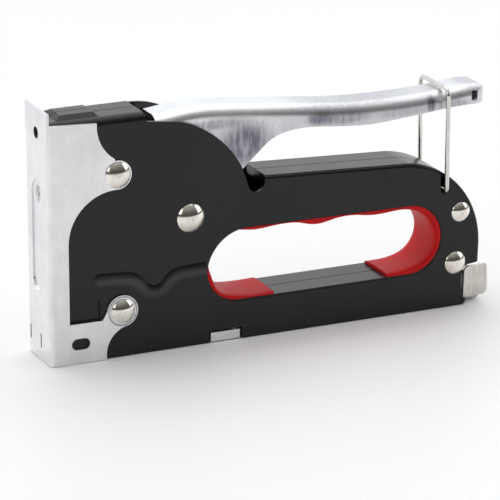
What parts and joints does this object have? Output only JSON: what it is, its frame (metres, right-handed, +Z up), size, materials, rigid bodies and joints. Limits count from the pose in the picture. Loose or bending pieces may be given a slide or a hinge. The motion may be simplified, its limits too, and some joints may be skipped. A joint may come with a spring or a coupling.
{
  "type": "hand squeeze staple gun",
  "caption": "Hand squeeze staple gun with a latched lever, riveted sheet-metal body, bright nose plate, finger opening with plastic linings and a pull-out magazine.",
  "frame": {"origin": "middle of the base, halfway between the nose front and the tail, on the centre plane", "axes": "+X from the nose to the tail, +Y across to the right-hand shell, +Z up from the base"},
  "size_m": [0.181, 0.0268, 0.0962],
  "materials": {
    "black_paint": "semi-gloss black baked enamel",
    "nose_zinc": "bright zinc plate, lightly brushed",
    "lever_chrome": "chrome plate over drawn steel",
    "rivet_nickel": "polished nickel plate",
    "wire_nickel": "nickel-plated spring wire",
    "magazine_steel": "zinc-plated sheet steel",
    "latch_steel": "nickel-plated sheet steel",
    "grip_red": "moulded red plastic, fine satin",
    "spring_steel": "oiled spring steel",
    "hard_steel": "hardened ground steel",
    "black_rubber": "moulded rubber",
    "block_plastic": "light grey moulded plastic",
    "staple_wire": "galvanised staple wire"
  },
  "bodies": {
    "frame": {"left_shell": "black_paint", "right_shell": "black_paint", "nose_plate": "nose_zinc", "upper_front_rivet": "rivet_nickel", "lower_front_rivet": "rivet_nickel", "pivot_rivet": "rivet_nickel", "rear_upper_rivet": "rivet_nickel", "rear_lower_rivet": "rivet_nickel", "upper_front_sleeve": "hard_steel", "lower_front_sleeve": "hard_steel", "pivot_sleeve": "hard_steel", "rear_upper_sleeve": "hard_steel", "rear_lower_sleeve": "hard_steel", "spring_stop": "hard_steel", "blade_guide": "hard_steel", "impact_bumper": "black_rubber", "magazine_channel": "magazine_steel", "rear_grip_insert": "grip_red", "front_grip_insert": "grip_red"},
    "squeeze_lever": {"lever": "lever_chrome", "lever_fork": "hard_steel", "lever_cross_pin": "hard_steel", "fork_spacers": "hard_steel"},
    "striker": {"plunger": "hard_steel", "driver_blade": "hard_steel", "spring_cup": "hard_steel", "power_spring": "spring_steel"},
    "bail": {"latch_bail": "wire_nickel"},
    "magazine_slide": {"staple_rail": "magazine_steel", "pusher_rod": "magazine_steel", "rail_block": "block_plastic", "magazine_latch": "latch_steel", "staple_strip": "staple_wire", "pusher_spring": "spring_steel"},
    "pusher_body": {"pusher": "magazine_steel"}
  },
  "joints": [
    {"name": "lever_squeeze", "type": "hinge", "parent": "frame", "child": "squeeze_lever", "pos_m": [-0.0342, 0, 0.05], "axis": [0, -1, 0], "range_deg": [-10, 0], "stiffness_Nm_per_rad": 1.2, "springref_deg": 14.32},
    {"name": "striker_lift", "type": "slide", "parent": "frame", "child": "striker", "axis": [0, 0, 1], "range_m": [0, 0.0072], "deforming": ["power_spring"]},
    {"name": "bail_swing", "type": "hinge", "parent": "frame", "child": "bail", "pos_m": [0.0715, 0, 0.0468], "axis": [0, 1, 0], "range_deg": [0, 72]},
    {"name": "magazine_pull", "type": "slide", "parent": "frame", "child": "magazine_slide", "axis": [1, 0, 0], "range_m": [0, 0.095]},
    {"name": "pusher_travel", "type": "slide", "parent": "magazine_slide", "child": "pusher_body", "axis": [1, 0, 0], "range_m": [0, 0.06], "stiffness_N_per_m": 15, "springref_m": -0.08, "deforming": ["pusher_spring"]}
  ],
  "couplings": [
    {"joint": "striker_lift", "follows": "lever_squeeze", "m_per_rad": -0.0401},
    {"joint": "bail_swing", "follows": "lever_squeeze", "ratio": -7}
  ]
}
